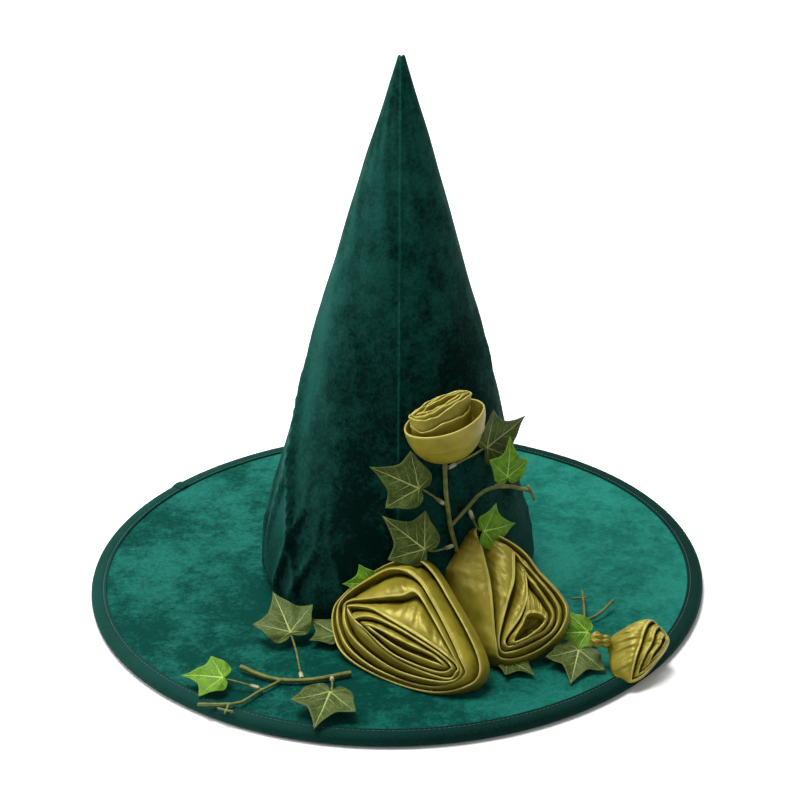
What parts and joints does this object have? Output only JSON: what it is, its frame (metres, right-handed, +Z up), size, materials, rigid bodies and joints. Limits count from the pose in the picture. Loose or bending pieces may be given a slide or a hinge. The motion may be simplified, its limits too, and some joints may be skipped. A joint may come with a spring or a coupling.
{
  "type": "witch hat",
  "caption": "Tall pointed velvet costume hat with a wide flat wired brim, trimmed with satin ribbon roses and sprays of artificial ivy.",
  "frame": {"origin": "centre of the brim's lowest plane, on the crown's foot axis", "axes": "+Z up through the crown, -Y the wearer's front, +X to the right as the front is looked at"},
  "size_m": [0.44, 0.44, 0.3813],
  "materials": {
    "crown_velvet": "dark green crushed velvet",
    "brim_velvet": "green crushed velvet",
    "binding_tape": "dark green velvet tape",
    "black_lining": "matt black polyester",
    "foam_interlining": "soft white foam and non-woven",
    "gold_satin": "olive gold satin",
    "ivy_stem": "moulded olive brown",
    "ivy_dark": "printed cloth leaf, dull olive green",
    "ivy_bright": "printed cloth leaf, fresh green",
    "steel": "drawn wire"
  },
  "bodies": {
    "hat": {"brim_underside_cover": "black_lining", "brim_foam": "foam_interlining", "brim_top_cover": "brim_velvet", "brim_edge_binding": "binding_tape", "brim_wire": "steel", "wire_ferrule": "steel", "crown_panel_right": "crown_velvet", "crown_panel_left": "crown_velvet", "crown_stiffener": "foam_interlining", "crown_lining": "black_lining", "sweatband": "black_lining", "stem_crown": "ivy_stem", "stem_left": "ivy_stem", "stem_right": "ivy_stem", "leaf_behind_left_rose": "ivy_bright", "leaf_beside_left_rose": "ivy_dark", "leaf_behind_bud": "ivy_bright", "leaf_before_bud": "ivy_dark", "leaf_under_right_rose": "ivy_dark", "leaf_under_left_rose": "ivy_dark", "rose_left_ribbon": "gold_satin", "rose_left_heart": "gold_satin", "rose_right_ribbon": "gold_satin", "rose_right_heart": "gold_satin", "rose_top_cup": "gold_satin", "rose_top_roll": "gold_satin", "bud_ribbon": "gold_satin", "bud_knot": "gold_satin"},
    "ivy_crown_left": {"leaf_crown_left": "ivy_dark", "stalk_crown_left": "ivy_stem"},
    "ivy_crown_top": {"leaf_crown_top": "ivy_dark", "stalk_crown_top": "ivy_stem"},
    "ivy_crown_right": {"leaf_crown_right": "ivy_bright", "stalk_crown_right": "ivy_stem"},
    "ivy_crown_low": {"leaf_crown_low": "ivy_bright", "stalk_crown_low": "ivy_stem"},
    "ivy_above_roses": {"leaf_above_roses": "ivy_dark", "stalk_above_roses": "ivy_stem"},
    "ivy_brim_tall": {"leaf_brim_tall": "ivy_dark", "stalk_brim_tall": "ivy_stem"},
    "ivy_brim_edge": {"leaf_brim_edge": "ivy_bright", "stalk_brim_edge": "ivy_stem"},
    "ivy_brim_front": {"leaf_brim_front": "ivy_dark", "stalk_brim_front": "ivy_stem"}
  },
  "joints": [
    {"name": "swivel_crown_left", "type": "hinge", "parent": "hat", "child": "ivy_crown_left", "pos_m": [0.03506, -0.07638, 0.09366], "axis": [-0.6266, -0.3343, 0.704], "range_deg": [-15, 30]},
    {"name": "swivel_crown_top", "type": "hinge", "parent": "hat", "child": "ivy_crown_top", "pos_m": [0.03355, -0.0708, 0.11873], "axis": [0.8285, 0.5318, 0.1754], "range_deg": [-20, 25]},
    {"name": "swivel_crown_right", "type": "hinge", "parent": "hat", "child": "ivy_crown_right", "pos_m": [0.05994, -0.06255, 0.09747], "axis": [0.9314, 0.1362, 0.3375], "range_deg": [-15, 30]},
    {"name": "swivel_crown_low", "type": "hinge", "parent": "hat", "child": "ivy_crown_low", "pos_m": [0.0492, -0.07103, 0.09052], "axis": [0.3052, -0.6561, -0.6902], "range_deg": [-6, 9]},
    {"name": "swivel_above_roses", "type": "hinge", "parent": "hat", "child": "ivy_above_roses", "pos_m": [0.03986, -0.08073, 0.06683], "axis": [-0.7535, -0.6526, 0.0791], "range_deg": [-30, 6]},
    {"name": "swivel_brim_tall", "type": "hinge", "parent": "hat", "child": "ivy_brim_tall", "pos_m": [-0.0631, -0.15464, 0.0091], "axis": [-0.1653, 0.9842, 0.0629], "range_deg": [-20, 10]},
    {"name": "swivel_brim_edge", "type": "hinge", "parent": "hat", "child": "ivy_brim_edge", "pos_m": [-0.08801, -0.16401, 0.00903], "axis": [-0.9549, 0.2152, 0.2047], "range_deg": [-3, 30]},
    {"name": "swivel_brim_front", "type": "hinge", "parent": "hat", "child": "ivy_brim_front", "pos_m": [-0.04391, -0.15078, 0.0091], "axis": [0.0497, -0.962, 0.2685], "range_deg": [-25, 15]}
  ]
}
